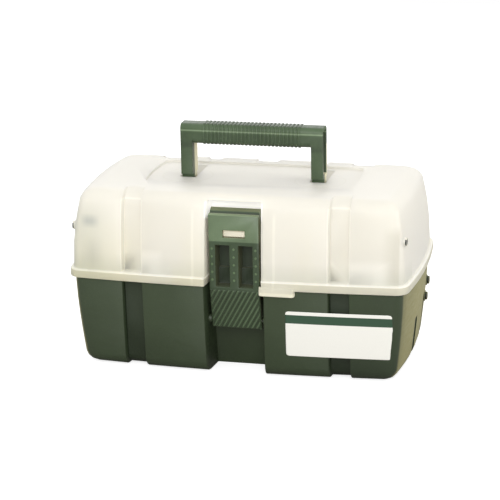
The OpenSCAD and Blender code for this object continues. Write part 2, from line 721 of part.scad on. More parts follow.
module handle() color(part_green) {
    grip_half = handle_w / 2;
    ribbed = handle_w / 2 - leg_w - 13;
    rib_step = 2 * ribbed / (grip_ribs - 1);
    difference() {
        union() {
            along_x(-grip_half, grip_half) grip_section(0);
            for (i = [0:grip_ribs - 1])
                along_x(-ribbed + (i - 0.3) * rib_step, -ribbed + (i + 0.3) * rib_step)
                    grip_section(rib_grow);
            both_ends() {
                block([leg_mid - leg_w / 2, handle_pivot_y - grip_d / 2, neck_top],
                      [leg_mid + leg_w / 2, handle_pivot_y + grip_d / 2, grip_mid_z]);
                block([leg_mid - leg_w / 2, handle_pivot_y - foot_round, handle_pivot_z],
                      [leg_mid + leg_w / 2, handle_pivot_y + foot_round, neck_top + 2]);
                rod(leg_mid - leg_w / 2, leg_mid + leg_w / 2, handle_pivot, foot_round);
            }
        }
        both_ends() {
            // hollow outer side of each leg
            block([leg_mid - leg_w / 2 + 4, handle_pivot_y - grip_d / 2 + 3.5, neck_top + 4],
                  [far, handle_pivot_y + grip_d / 2 - 3.5, handle_top - 4]);
            rod(leg_mid - leg_w, leg_mid + leg_w, handle_pivot, handle_pin_r + turn_fit);
        }
    }
}

module handle_pins() color(steel)
    both_ends() rod(leg_mid - handle_pin_half + 0.2, leg_mid + handle_pin_half - 0.2, handle_pivot,
        handle_pin_r);

// ---------------------------------------------------------------- trays

function on_strap(base, reach) = base + reach * strap_dir;
tray_round = 8;
divide_y = (tray_rear - tray_front) / 2;    // middle wall of a tray
rail_deep = 1.5;                            // guide ribs of the dividers
rivet_in = 1.2;                             // how deep a rear rivet stands in the end wall
divider_pitch = 2 * (tray_half - tray_wall) / (dividers + 1);
function divider_x(i) = -tray_half + tray_wall + divider_pitch * (i + 1);
// the two channels of a tray: front and rear face
channels = [[-tray_front + tray_wall, divide_y - tray_wall / 2],
            [divide_y + tray_wall / 2, tray_rear - tray_wall]];

// pivot boss on a tray's end and the ear that hangs below its floor
module tray_ears(base, reach, floor_z) {
    rear = on_strap(rear_base, reach);
    front = on_strap(front_base, reach);
    both_ends() {
        for (p = [rear, front]) rod(ear_x, tray_half + ear_t, p, boss_r);
        block([ear_x, front[0] - boss_r, front[1]], [tray_half + ear_t, front[0] + boss_r, floor_z + 10]);
        block([tray_half - 1, front[0] - boss_r, floor_z + 1],
              [tray_half + ear_t, rear[0], floor_z + 10]);
    }
}

module tray(floor_z, h, reach) {
    difference() {
        union() {
            difference() {
                round_box([-tray_half, -tray_front, floor_z], [tray_half, tray_rear, floor_z + h],
                    tray_round);
                for (c = channels)
                    round_box([-tray_half + tray_wall, c[0], floor_z + tray_wall],
                        [tray_half - tray_wall, c[1], floor_z + h + 1], tray_round - tray_wall);
            }
            // pairs of guide ribs for the dividers
            for (c = channels, i = [0:dividers - 1], s = [-1, 1], y = [c[0] - 0.5, c[1] - rail_deep])
                block([divider_x(i) + s * (divider_t / 2 + 0.8) - 0.6, y, floor_z + tray_wall - 0.5],
                      [divider_x(i) + s * (divider_t / 2 + 0.8) + 0.6, y + rail_deep + 0.5,
                       floor_z + h - 3]);
            tray_ears(rear_base, reach, floor_z);
        }
        both_ends() {
            rod(ear_x - rivet_in, far, on_strap(rear_base, reach), rivet_r + fixed_fit);
            rod(ear_x - 1, far, on_strap(front_base, reach), rivet_r + fixed_fit);
        }
    }
}

module tray_dividers(floor_z, h) {
    for (c = channels, i = [0:dividers - 1])
        block([divider_x(i) - divider_t / 2, c[0] + slide_gap, floor_z + tray_wall + 0.1],
              [divider_x(i) + divider_t / 2, c[1] - slide_gap, floor_z + h - 2]);
}

module lower_tray() color(tray_cream) tray(lower_floor, lower_tray_h, lower_reach);

module upper_tray() color(tray_cream) difference() {
    union() {
        tray(upper_floor, upper_tray_h, upper_reach);
        both_ends() rod(tray_half - 1, link_x - slide_gap, link_tray, boss_r - 1);
    }
    both_ends() rod(tray_half - 4, far, link_tray, rivet_r + fixed_fit);
}

module lower_tray_dividers() color(tray_cream) tray_dividers(lower_floor, lower_tray_h);
module upper_tray_dividers() color(tray_cream) tray_dividers(upper_floor, upper_tray_h);

// ---------------------------------------------------------------- straps, links, rivets

// flat bar with round ends between two places [y, z], from plane x0
module bar(x0, a, b) {
    l = norm(b - a);
    translate([x0, a[0], a[1]]) rotate([atan2(b[1] - a[1], b[0] - a[0]), 0, 0]) {
        block([0, 0, -strap_w / 2], [strap_t, l, strap_w / 2]);
        rod(0, strap_t, [0, 0], strap_w / 2);
        rod(0, strap_t, [l, 0], strap_w / 2);
    }
}

module strap(base) color(dark) difference() {
    bar(strap_x, base, on_strap(base, upper_reach));
    for (reach = [0, lower_reach, upper_reach])
        rod(strap_x - 1, strap_x + strap_t + 1, on_strap(base, reach), rivet_r + turn_fit);
}

module lid_link() color(dark) difference() {
    bar(link_x, link_lid, link_tray);
    rod(link_x - 1, link_x + strap_t + 1, link_lid, rivet_r + turn_fit);
    rod(link_x - 1, link_x + strap_t + 1, link_tray, rivet_r + loose_fit);
}

module rear_strap_right() strap(rear_base);
module rear_strap_left() mirror([1, 0, 0]) strap(rear_base);
module front_strap_right() strap(front_base);
module front_strap_left() mirror([1, 0, 0]) strap(front_base);
module lid_link_right() lid_link();
module lid_link_left() mirror([1, 0, 0]) lid_link();

// rivet from plane x0 to x1 with a head beyond each end that has one
module rivet(x0, x1, at, head_low, head_high) {
    rod(x0, x1, at, rivet_r);
    if (head_low > 0) rod(x0 - head_low, x0 + 0.01, at, head_r);
    if (head_high > 0) rod(x1 - 0.01, x1 + head_high, at, head_r);
}

module base_rivets() color(dark) both_ends() for (p = [rear_base, front_base])
    rivet(strap_x - 0.1, base_pad_x + 0.05, p, head_t, 2.2);

module tray_rivets(reach) both_ends() {
    rivet(ear_x - rivet_in, strap_x + strap_t + 0.1, on_strap(rear_base, reach), 0, head_t);
    rivet(ear_x, strap_x + strap_t + 0.1, on_strap(front_base, reach), 0, head_t);
}
module lower_tray_rivets() color(steel) tray_rivets(lower_reach);
module upper_tray_rivets() color(steel) tray_rivets(upper_reach);

module lid_rivets() color(dark) both_ends() rivet(link_x - 0.1, link_pad_x + 0.05, link_lid, head_t, 1.6);

module link_rivets() color(steel) both_ends()
    rivet(tray_half - tray_wall - 0.1, link_x + strap_t + 0.2, link_tray, 1.2, head_t);

base_tub();
lid_shell();
hinge_pins();
latch();
latch_pin();
handle();
handle_pins();
lower_tray();
upper_tray();
lower_tray_dividers();
upper_tray_dividers();
rear_strap_left();
rear_strap_right();
front_strap_left();
front_strap_right();
lid_link_left();
lid_link_right();
base_rivets();
lower_tray_rivets();
upper_tray_rivets();
lid_rivets();
link_rivets();
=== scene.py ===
# Portable tackle box: dark green tub and latch, milky lid, cream trays that swing out.
import json
import math
import bmesh
import bpy
import numpy as np
from mathutils import Matrix, Vector


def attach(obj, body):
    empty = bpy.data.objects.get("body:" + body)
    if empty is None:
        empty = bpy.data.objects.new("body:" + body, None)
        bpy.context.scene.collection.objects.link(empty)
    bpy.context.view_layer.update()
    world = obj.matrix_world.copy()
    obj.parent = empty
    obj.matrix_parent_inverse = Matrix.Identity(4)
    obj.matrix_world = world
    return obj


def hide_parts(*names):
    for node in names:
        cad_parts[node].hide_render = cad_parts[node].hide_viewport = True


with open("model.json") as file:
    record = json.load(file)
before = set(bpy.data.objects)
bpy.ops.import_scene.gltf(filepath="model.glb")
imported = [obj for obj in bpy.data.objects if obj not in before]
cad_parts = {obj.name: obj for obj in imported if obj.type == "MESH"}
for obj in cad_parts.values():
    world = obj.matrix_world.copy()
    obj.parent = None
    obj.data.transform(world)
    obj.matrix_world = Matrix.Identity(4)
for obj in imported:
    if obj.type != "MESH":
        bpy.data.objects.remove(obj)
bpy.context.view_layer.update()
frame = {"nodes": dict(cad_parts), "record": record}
nodes = frame["nodes"]
print("frame loaded:", len(nodes), "nodes")


# what the record says of each node: its body, its material slot, and the places of the joints

behaviour = frame["record"]["behaviour"]
bodyOf = {node: body for body, members in behaviour["bodies"].items() for node in members}
slotOf = {row["node"]: row["material_slot"] for row in frame["record"]["subparts"]}
pivots = {joint["name"]: joint["pos_m"] for joint in behaviour["joints"]}


# camera

portrait = {"turn": 14.11, "rise": 17.01, "roll": -1.13, "away": 2.13121,
            "aim": (-0.00558, 0.0, 0.11079), "lens": 140.23, "sensor": 36.0, "clipEnd": 50.0}


def placeCamera(s):
    # looks back along one ray from the aim point, then rolls about that ray
    turn, rise, roll = (math.radians(s[key]) for key in ("turn", "rise", "roll"))
    level = math.cos(rise)
    back = Vector((math.sin(turn) * level, -math.cos(turn) * level, math.sin(rise)))
    right = Vector((math.cos(turn), math.sin(turn), 0.0))
    up = right.cross(-back)
    across = right * math.cos(roll) + up * math.sin(roll)
    upward = up * math.cos(roll) - right * math.sin(roll)
    view = Matrix((across, upward, back)).transposed().to_4x4()
    view.translation = Vector(s["aim"]) + back * s["away"]
    data = bpy.data.cameras.new("portraitCamera")
    data.lens = s["lens"]
    data.sensor_width = s["sensor"]
    data.clip_end = s["clipEnd"]
    camera = bpy.data.objects.new("portraitCamera", data)
    camera.matrix_world = view
    bpy.context.scene.collection.objects.link(camera)
    bpy.context.scene.camera = camera


placeCamera(portrait)
print("camera placed")


# shader helpers

def newTree(name):
    mat = bpy.data.materials.new(name)
    mat.use_nodes = True
    tree = mat.node_tree
    tree.nodes.clear()
    out = tree.nodes.new("ShaderNodeOutputMaterial")
    return mat, tree, out


def add(tree, kind, **values):
    # a node with its settings, and its inputs by name or number through the "put" entry
    put = values.pop("put", {})
    node = tree.nodes.new(kind)
    for key, value in values.items():
        setattr(node, key, value)
    for key, value in put.items():
        if isinstance(value, bpy.types.NodeSocket):
            tree.links.new(value, node.inputs[key])
        else:
            node.inputs[key].default_value = value
    return node


def calc(tree, operation, a, b=0.0):
    return add(tree, "ShaderNodeMath", operation=operation, put={0: a, 1: b}).outputs[0]


def vectorCalc(tree, operation, a, b, output):
    return add(tree, "ShaderNodeVectorMath", operation=operation, put={0: a, 1: b}).outputs[output]


def parts(tree, place):
    return add(tree, "ShaderNodeSeparateXYZ", put={0: place}).outputs


def objectPlace(tree, stretch=(1, 1, 1), turn=(0, 0, 0)):
    coords = add(tree, "ShaderNodeTexCoord").outputs["Object"]
    return add(tree, "ShaderNodeMapping", put={"Vector": coords, "Scale": stretch,
                                               "Rotation": turn}).outputs["Vector"]


def noise(tree, place, scale, detail=3.0, rough=0.55):
    return add(tree, "ShaderNodeTexNoise", put={"Vector": place, "Scale": scale, "Detail": detail,
                                                "Roughness": rough}).outputs["Fac"]


def ramp(tree, fac, low, high, fromLow, fromHigh):
    # maps fac between two bounds to two values
    return add(tree, "ShaderNodeMapRange",
               put={0: fac, 1: fromLow, 2: fromHigh, 3: low, 4: high}).outputs[0]


def blend(tree, fac, a, b, kind="MIX"):
    return add(tree, "ShaderNodeMix", data_type="RGBA", blend_type=kind,
               put={0: fac, 6: a, 7: b}).outputs[2]


def rgba(c, k=1.0):
    return (c[0] * k, c[1] * k, c[2] * k, 1.0)


def facing(tree):
    # 0 where the surface faces the eye, 1 where it turns away
    return add(tree, "ShaderNodeLayerWeight", put={"Blend": 0.5}).outputs["Facing"]


def grainBump(tree, place, s, rough=0.55):
    grain = noise(tree, place, s["grainScale"], rough=rough)
    return add(tree, "ShaderNodeBump", put={"Height": grain, "Strength": s["grainStrength"],
                                            "Distance": s["grainDeep"]}).outputs[0]


# zones: places on a piece, in the frame's metres, that have a tone of their own; most zones are painted
# shade or painted highlights

beyond = 1.0      # outside the whole object


def along(direction):
    # measures the distance along a direction
    def measure(tree, place):
        return vectorCalc(tree, "DOT_PRODUCT", place, direction, "Value")
    return measure


def acrossX(tree, place):
    # measures the distance from the middle plane
    return calc(tree, "ABSOLUTE", parts(tree, place)[0])


def comb(direction, shift):
    # measures the place between two of many repeated lines, 0 to 1
    def measure(tree, place):
        lines = vectorCalc(tree, "DOT_PRODUCT", place, direction, "Value")
        return calc(tree, "FRACT", calc(tree, "ADD", lines, shift))
    return measure


def awayFrom(centre, kept):
    # measures the distance from a point of the right half and of its mirror image, on the kept axes
    def measure(tree, place):
        x, y, z = parts(tree, place)
        mirrored = add(tree, "ShaderNodeCombineXYZ", put={0: calc(tree, "ABSOLUTE", x), 1: y, 2: z})
        flat = vectorCalc(tree, "MULTIPLY", mirrored.outputs[0], kept, "Vector")
        return vectorCalc(tree, "DISTANCE", flat, centre, "Value")
    return measure


alongX, alongY, alongZ = along((1, 0, 0)), along((0, 1, 0)), along((0, 0, 1))


def zone(tree, place, spans):
    # 1 inside all the spans of a zone, each a row of measure, low, high and soft width
    mask = 1.0
    for measure, low, high, soft in spans:
        at = measure(tree, place)
        rise = ramp(tree, at, 0.0, 1.0, low - soft / 2, low + soft / 2)
        fall = ramp(tree, at, 1.0, 0.0, high - soft / 2, high + soft / 2)
        mask = calc(tree, "MULTIPLY", mask, calc(tree, "MULTIPLY", rise, fall))
    return mask


def tintZones(tree, place, base, zones):
    # multiplies the colour by the tone of each zone
    for spans, tone in zones.values():
        shade = blend(tree, zone(tree, place, spans), rgba((1, 1, 1)), rgba(tone))
        base = blend(tree, 1.0, base, shade, "MULTIPLY")
    return base


# moulded plastics: tub, fittings, trays and straps

moulding = {"cloudFrom": (0.35, 0.65), "speckFrom": (0.55, 0.75), "rubScale": 60.0,
            "rubFrom": (0.35, 0.65), "index": 1.49, "specular": 0.5, "grazeIn": [], "zones": {},
            "patches": []}


def mouldedPlastic(name, s):
    # colour clouds, fine spark-eroded grain as bump, rubbed streaks in the gloss, tones of zones and
    # patches, and a painted sheen, a paler colour mixed in where the surface turns away from the eye
    mat, tree, out = newTree(name)
    place = objectPlace(tree)
    clouds = noise(tree, place, s["cloudScale"], detail=4.0)
    specks = noise(tree, place, s["grainScale"] / 2, detail=2.0)
    base = blend(tree, ramp(tree, clouds, 0.0, 1.0, *s["cloudFrom"]),
                 rgba(s["colour"], 1 - s["vary"]), rgba(s["colour"], 1 + s["vary"]))
    base = blend(tree, ramp(tree, specks, 0.0, s["speck"], *s["speckFrom"]), base, rgba(s["light"]))
    base = tintZones(tree, place, base, s["zones"])
    # painted sheen: colour standing in for glancing light, only inside the zone it is given
    if "graze" in s:
        sheenPaintedShare = ramp(tree, facing(tree), 0.0, s["grazeMost"], *s["grazeFrom"])
        sheenPaintedShare = calc(tree, "MULTIPLY", sheenPaintedShare, zone(tree, place, s["grazeIn"]))
        base = blend(tree, sheenPaintedShare, base, rgba(s["graze"]))
    # patches: a colour laid over a zone; on the tub these are painted shade in the end recesses
    for spans, colour in s["patches"]:
        base = blend(tree, zone(tree, place, spans), base, rgba(colour))
    rubbed = objectPlace(tree, s["rubStretch"], s["rubTurn"])
    rubs = noise(tree, rubbed, s["rubScale"], detail=5.0, rough=0.7)
    rough = ramp(tree, rubs, s["rough"] - s["rubDepth"], s["rough"] + s["rubDepth"], *s["rubFrom"])
    shader = add(tree, "ShaderNodeBsdfPrincipled", put={
        "Base Color": base, "Roughness": rough, "Normal": grainBump(tree, place, s, rough=0.6),
        "IOR": s["index"], "Specular IOR Level": s["specular"]})
    tree.links.new(shader.outputs[0], out.inputs[0])
    return mat


# the tub has painted shade low down, in its flutes, in the latch's recess and towards its right end;
# its end walls have a painted khaki sheen and painted shade in their recesses, each given by its front
# edge and its top
recessHalf = 0.0312
tubFace = (alongY, -beyond, -0.03, 0.002)
rightEnd = (alongX, 0.09, beyond, 0.07)
endRecesses = ((-0.0175, 0.049), (0.0385, 0.057))
endRecessWide = 0.013
tubPlastic = {
    **moulding, "colour": (0.0345, 0.0505, 0.0245), "light": (0.070, 0.095, 0.056), "vary": 0.10,
    "speck": 0.25, "graze": (0.36, 0.33, 0.15), "grazeMost": 0.75, "grazeFrom": (0.50, 0.85),
    "grazeIn": [(acrossX, 0.166, beyond, 0.002)],
    "zones": {
        "low": ([(alongZ, -0.01, 0.045, 0.09)], (0.80, 0.82, 0.76)),
        "flutes": ([(acrossX, 0.1012, 0.1224, 0.0004), tubFace], (0.50, 0.54, 0.50)),
        "rightEnd": ([rightEnd, tubFace], (0.85, 0.87, 0.85)),
        "rightEndLow": ([rightEnd, (alongZ, -beyond, 0.035, 0.03), tubFace], (0.87, 0.86, 0.94)),
        "recess": ([(acrossX, -beyond, recessHalf, 0.0006), tubFace], (0.88, 0.88, 0.86)),
    },
    # painted shade: dark patches over the two recesses of each end wall
    "patches": [([(acrossX, 0.15, beyond, 0.001), (alongY, y, y + endRecessWide, 0.0006),
                  (alongZ, -beyond, top, 0.0006)], (0.024, 0.035, 0.017)) for y, top in endRecesses],
    "cloudScale": 14.0, "grainScale": 1500.0, "grainStrength": 0.35, "grainDeep": 0.00025,
    "rough": 0.46, "rubDepth": 0.07, "rubStretch": (1, 1, 6), "rubTurn": (0, 0.5, 0)}
fittingPlastic = {
    **moulding, "colour": (0.066, 0.100, 0.052), "light": (0.13, 0.17, 0.10), "vary": 0.12,
    "speck": 0.2, "graze": (0.30, 0.30, 0.17), "grazeMost": 0.5, "grazeFrom": (0.45, 0.9),
    "cloudScale": 26.0, "grainScale": 1700.0, "grainStrength": 0.3, "grainDeep": 0.0002,
    "rough": 0.38, "rubDepth": 0.08, "rubStretch": (7, 1, 1), "rubTurn": (0, 0, 0.3)}
trayPlastic = {
    **moulding, "colour": (0.74, 0.66, 0.46), "light": (0.85, 0.80, 0.62), "vary": 0.05,
    "speck": 0.3, "cloudScale": 18.0, "grainScale": 1300.0, "grainStrength": 0.25,
    "grainDeep": 0.0002, "rough": 0.42, "rubDepth": 0.08, "rubStretch": (5, 1, 1),
    "rubTurn": (0, 0, 0.1)}
strapPlastic = {
    **moulding, "colour": (0.020, 0.024, 0.020), "light": (0.05, 0.055, 0.05), "vary": 0.15,
    "speck": 0.2, "cloudScale": 40.0, "grainScale": 2000.0, "grainStrength": 0.3,
    "grainDeep": 0.0002, "rough": 0.45, "rubDepth": 0.1, "rubStretch": (1, 8, 8),
    "rubTurn": (0.5, 0, 0)}

# latch: painted sheen on the plate, painted shade in the windows, the groove, on the posts and the
# foot, painted highlights on the dots, the rib edges and the edges of the lip
windows = (alongZ, 0.096, 0.146, 0.001)
outOfFoot = along((0, 1, 0.191))
footRibs = comb((192.3, 0.0, -108.5), 0.726)
latchPlastic = {**fittingPlastic, "zones": {
    "plate": ([(alongZ, 0.1475, 0.1755, 0.001)], (1.62, 1.50, 1.62)),
    "windowBacks": ([(alongY, -0.0885, 0.0, 0.004), windows], (0.50, 0.50, 0.48)),
    "windowPanel": ([(alongZ, 0.0935, 0.1475, 0.001)], (0.58, 0.61, 0.58)),
    "foot": ([(alongZ, 0.040, 0.0935, 0.001)], (0.50, 0.52, 0.50)),
    "ribEdges": ([(outOfFoot, -beyond, -0.0747, 0.0002), (alongZ, 0.040, 0.0945, 0.001),
                  (footRibs, 0.17, 0.50, 0.08)], (2.3, 2.2, 2.3)),
    "dots": ([(alongY, -beyond, -0.09275, 0.0002), windows], (2.6, 2.5, 2.5)),
    "frontEdge": ([(alongY, -beyond, -0.0881, 0.0004), (alongZ, 0.1757, beyond, 0.0003)],
                  (2.4, 2.1, 2.3)),
    "groove": ([(alongY, -0.0880, -0.0848, 0.0004), (alongZ, 0.170, 0.1790, 0.001)],
               (0.40, 0.42, 0.40)),
    "rearEdge": ([(alongY, -0.0848, -0.05, 0.0004), (alongZ, 0.1790, beyond, 0.0006)],
                 (1.9, 1.45, 1.4)),
}}

# handle: a painted beige sheen on the rear edges of the legs, darker legs, painted shade on the grip's
# top and lower part, and a painted highlight line along the grip above its middle
legTop = 0.232
handlePlastic = {
    **fittingPlastic, "graze": (0.80, 0.75, 0.52), "grazeMost": 0.85, "grazeFrom": (0.62, 0.76),
    "grazeIn": [(alongZ, 0.1, legTop, 0.002), (alongY, 0.0, 0.1, 0.003)], "specular": 0.28,
    "zones": {
        "legs": ([(alongZ, 0.1, legTop, 0.004)], (0.84, 0.82, 0.86)),
        "gripLow": ([(alongZ, 0.226, 0.2435, 0.003)], (0.76, 0.74, 0.78)),
        "lightLine": ([(alongZ, 0.2442, 0.2458, 0.0006)], (2.5, 2.2, 2.6)),
        "gripTop": ([(alongZ, 0.2516, beyond, 0.001)], (0.70, 0.70, 0.68)),
    }}


def headSpans(pivot, core):
    # the middle of a head's face, and the same height on its side
    headEdge = 0.0042
    radius = awayFrom((0.0, pivot[1], pivot[2]), (0, 1, 1))
    level = (alongZ, pivot[2] - core, pivot[2] + core, 0.0004)
    return [[(radius, -beyond, core, 0.0003)], [(radius, headEdge, beyond, 0.0002), level]]


# only the middle of the rivet and peg heads shows dark, the rest has the tone of the wall; the pegs
# are dark behind the wall as well
dark, pale = strapPlastic["colour"], (0.74, 0.71, 0.62)
behindWall = (acrossX, -beyond, 0.1735, 0.001)
rivetPlastic = {
    **strapPlastic, "colour": pale, "light": pale, "vary": 0.02,
    "patches": [(spans, dark) for spans in headSpans(pivots["lid_link_swing"], core=0.0029)]}
pegPlastic = {
    **tubPlastic, "zones": {},
    "patches": [(spans, dark) for name in ("rear_strap_swing", "front_strap_swing")
                for spans in headSpans(pivots[name], core=0.0028)] + [([behindWall], dark)]}


# milky plastic of the lid

# the zones are darker: the band; painted shade on the wall over it, towards the left end, where the
# arms behind the wall would show through and at the right corner; a faint darker ring round each foot
# of the handle;
# the glows are painted light, emission where light would soak through: edges of the flutes, ribs beside
# the pocket, the band's edge, the tab, the pocket and the catch
bandTop = 0.1076
lidFace = (alongY, -beyond, -0.055, 0.004)
fluteTall = (alongZ, 0.1085, 0.187, 0.002)
fluteGlow = (1.0, 0.97, 0.86)
handleFeet = awayFrom((0.0735, 0, 0), (1, 1, 0))
milky = {
    "colour": (0.950, 0.928, 0.860), "low": (0.925, 0.895, 0.765), "lowZ": 0.100, "highZ": 0.175,
    "vary": 0.02, "through": 0.30, "clear": 0.22, "blur": 0.40, "bend": 1.20, "index": 1.46,
    "flowScale": 9.0, "flowStretch": (1, 1, 0.4), "flowFrom": (0.4, 0.6),
    "graze": (1.0, 0.99, 0.96), "grazeFrom": (0.45, 0.85),
    "scuffScale": 45.0, "scuffStretch": (1, 5, 1), "scuffTurn": (0, 0, 0.6), "scuffFrom": (0.35, 0.7),
    "roughLow": 0.34, "roughHigh": 0.48,
    "grainScale": 900.0, "grainStrength": 0.18, "grainDeep": 0.0002,
    "zones": {
        "band": ([(alongZ, 0.09, bandTop, 0.0006)], (0.89, 0.885, 0.825)),
        "overBand": ([(alongZ, 0.1092, beyond, 0.0006), (alongZ, -beyond, 0.120, 0.018), lidFace],
                     (0.90, 0.91, 0.89)),
        "leftEnd": ([(alongX, -beyond, -0.142, 0.03), (alongZ, 0.09, 0.176, 0.02)], (0.93, 0.94, 0.92)),
        "armHigh": ([(alongX, -0.166, -0.151, 0.009), (alongZ, 0.157, 0.166, 0.007), lidFace],
                    (0.80, 0.82, 0.84)),
        "armLow": ([(alongX, -0.163, -0.148, 0.014), (alongZ, 0.112, 0.139, 0.016), lidFace],
                   (0.90, 0.90, 0.90)),
        "rightCorner": ([(alongX, 0.164, beyond, 0.016), (alongX, -beyond, 0.1745, 0.0015),
                         (alongZ, 0.109, 0.166, 0.010), lidFace], (0.905, 0.90, 0.875)),
        "footRings": ([(handleFeet, 0.0265, 0.0280, 0.0012), (alongZ, 0.18, beyond, 0.001)],
                      (0.965, 0.965, 0.955)),
    },
    "glows": {
        "fluteInner": ([(acrossX, 0.0994, 0.1020, 0.001), fluteTall, lidFace], fluteGlow, 0.09),
        "fluteOuter": ([(acrossX, 0.1212, 0.1238, 0.001), fluteTall, lidFace], fluteGlow, 0.09),
        "fluteEnd": ([(acrossX, 0.1015, 0.1220, 0.001), (alongZ, 0.1850, 0.1868, 0.001), lidFace],
                     (1.0, 0.98, 0.92), 0.07),
        "besidePocket": ([(acrossX, 0.0425, 0.0452, 0.001), (alongZ, 0.102, 0.178, 0.01), lidFace],
                         fluteGlow, 0.06),
        "bandEdge": ([(alongZ, bandTop, 0.1092, 0.0008)], (1.0, 0.98, 0.90), 0.12),
        "tabFoot": ([(alongX, 0.027, 0.068, 0.001), (alongY, -beyond, -0.08, 0.001),
                     (alongZ, 0.08, 0.0975, 0.0015)], (1.0, 0.97, 0.78), 0.16),
        "pocket": ([(acrossX, -beyond, recessHalf, 0.001), (alongY, -0.1, -0.0665, 0.001),
                    (alongZ, 0.172, 0.1885, 0.003)], (0.90, 0.93, 1.0), 0.27),
        "catch": ([(acrossX, -beyond, 0.0125, 0.0005), (alongY, -0.1, -0.080, 0.001),
                   (alongZ, 0.150, 0.161, 0.001)], (1.0, 0.86, 0.50), 0.16),
    }}


def milkyPlastic(name, s):
    # natural polypropylene: cloudy flow marks, light that soaks through the wall, blurred shapes of
    # what lies close behind it, a painted warmer tone towards the rim standing in for the cream trays
    # and light seen through it, a painted paler sheen where the wall turns away, and the painted shade
    # and glows of the zones
    mat, tree, out = newTree(name)
    place = objectPlace(tree)
    flow = noise(tree, objectPlace(tree, s["flowStretch"]), s["flowScale"], detail=5.0, rough=0.6)
    # painted: warmer towards the rim, for the cream trays and light seen through the wall
    warm = blend(tree, ramp(tree, parts(tree, place)[2], 0.0, 1.0, s["lowZ"], s["highZ"]),
                 rgba(s["low"]), rgba(s["colour"]))
    base = blend(tree, ramp(tree, flow, 0.0, 1.0, *s["flowFrom"]), warm,
                 rgba(s["colour"], 1 - s["vary"]))
    # painted sheen: paler where the wall turns away from the eye
    base = blend(tree, ramp(tree, facing(tree), 0.0, 1.0, *s["grazeFrom"]), base, rgba(s["graze"]))
    base = tintZones(tree, place, base, s["zones"])
    scuffed = objectPlace(tree, s["scuffStretch"], s["scuffTurn"])
    scuff = noise(tree, scuffed, s["scuffScale"], detail=6.0, rough=0.7)
    rough = ramp(tree, scuff, s["roughLow"], s["roughHigh"], *s["scuffFrom"])
    skin = add(tree, "ShaderNodeBsdfPrincipled", put={
        "Base Color": base, "Roughness": rough, "Normal": grainBump(tree, place, s),
        "IOR": s["index"]})
    soaked = add(tree, "ShaderNodeBsdfTranslucent", put={"Color": base})
    lit = add(tree, "ShaderNodeMixShader", put={0: s["through"], 1: skin.outputs[0],
                                                2: soaked.outputs[0]})
    blurred = add(tree, "ShaderNodeBsdfRefraction", put={"Color": base, "Roughness": s["blur"],
                                                         "IOR": s["bend"]})
    wall = add(tree, "ShaderNodeMixShader", put={0: s["clear"], 1: lit.outputs[0],
                                                 2: blurred.outputs[0]})
    # painted glows: emission standing in for light that would soak through the wall
    for spans, colour, most in s["glows"].values():
        strength = calc(tree, "MULTIPLY", zone(tree, place, spans), most)
        glow = add(tree, "ShaderNodeEmission", put={"Color": rgba(colour), "Strength": strength})
        wall = add(tree, "ShaderNodeAddShader", put={0: wall.outputs[0], 1: glow.outputs[0]})
    tree.links.new(wall.outputs[0], out.inputs[0])
    return mat


# steel of the pins

pinSteel = {"colour": (0.60, 0.60, 0.59), "ringDark": 0.85, "ringScale": 900.0,
            "ringStretch": (1, 0.05, 0.05), "ringFrom": (0.3, 0.7), "roughLow": 0.22,
            "roughHigh": 0.42}


def turnedSteel(name, s):
    # drawn steel wire with fine rings of gloss along the pin
    mat, tree, out = newTree(name)
    rings = noise(tree, objectPlace(tree, s["ringStretch"]), s["ringScale"], detail=2.0)
    rough = ramp(tree, rings, s["roughLow"], s["roughHigh"], *s["ringFrom"])
    tone = blend(tree, rings, rgba(s["colour"], s["ringDark"]), rgba(s["colour"]))
    shader = add(tree, "ShaderNodeBsdfPrincipled", put={
        "Base Color": tone, "Metallic": 1.0, "Roughness": rough})
    tree.links.new(shader.outputs[0], out.inputs[0])
    return mat


# finishes by the record's material slot, and the nodes that have one of their own

finishes = {
    "tub_plastic": mouldedPlastic("tubPlastic", tubPlastic),
    "green_plastic": mouldedPlastic("fittingPlastic", fittingPlastic),
    "milky_plastic": milkyPlastic("milkyPlastic", milky),
    "tray_plastic": mouldedPlastic("trayPlastic", trayPlastic),
    "strap_plastic": mouldedPlastic("strapPlastic", strapPlastic),
    "steel": turnedSteel("pinSteel", pinSteel),
}
ownFinish = {
    "latch": mouldedPlastic("latchPlastic", latchPlastic),
    "handle": mouldedPlastic("handlePlastic", handlePlastic),
    "lid_rivets": mouldedPlastic("rivetPlastic", rivetPlastic),
    "base_rivets": mouldedPlastic("pegPlastic", pegPlastic),
}


def finishOf(name):
    return ownFinish.get(name, finishes[slotOf[name]])


def wear(obj, material):
    if not obj.data.materials:
        obj.data.materials.append(material)
    for i in range(len(obj.data.materials)):
        obj.data.materials[i] = material


for name, node in nodes.items():
    wear(node, finishOf(name))
print("finishes on", len(nodes), "nodes")


# softened mouldings: merged copies of the CAD nodes with small rounded edges

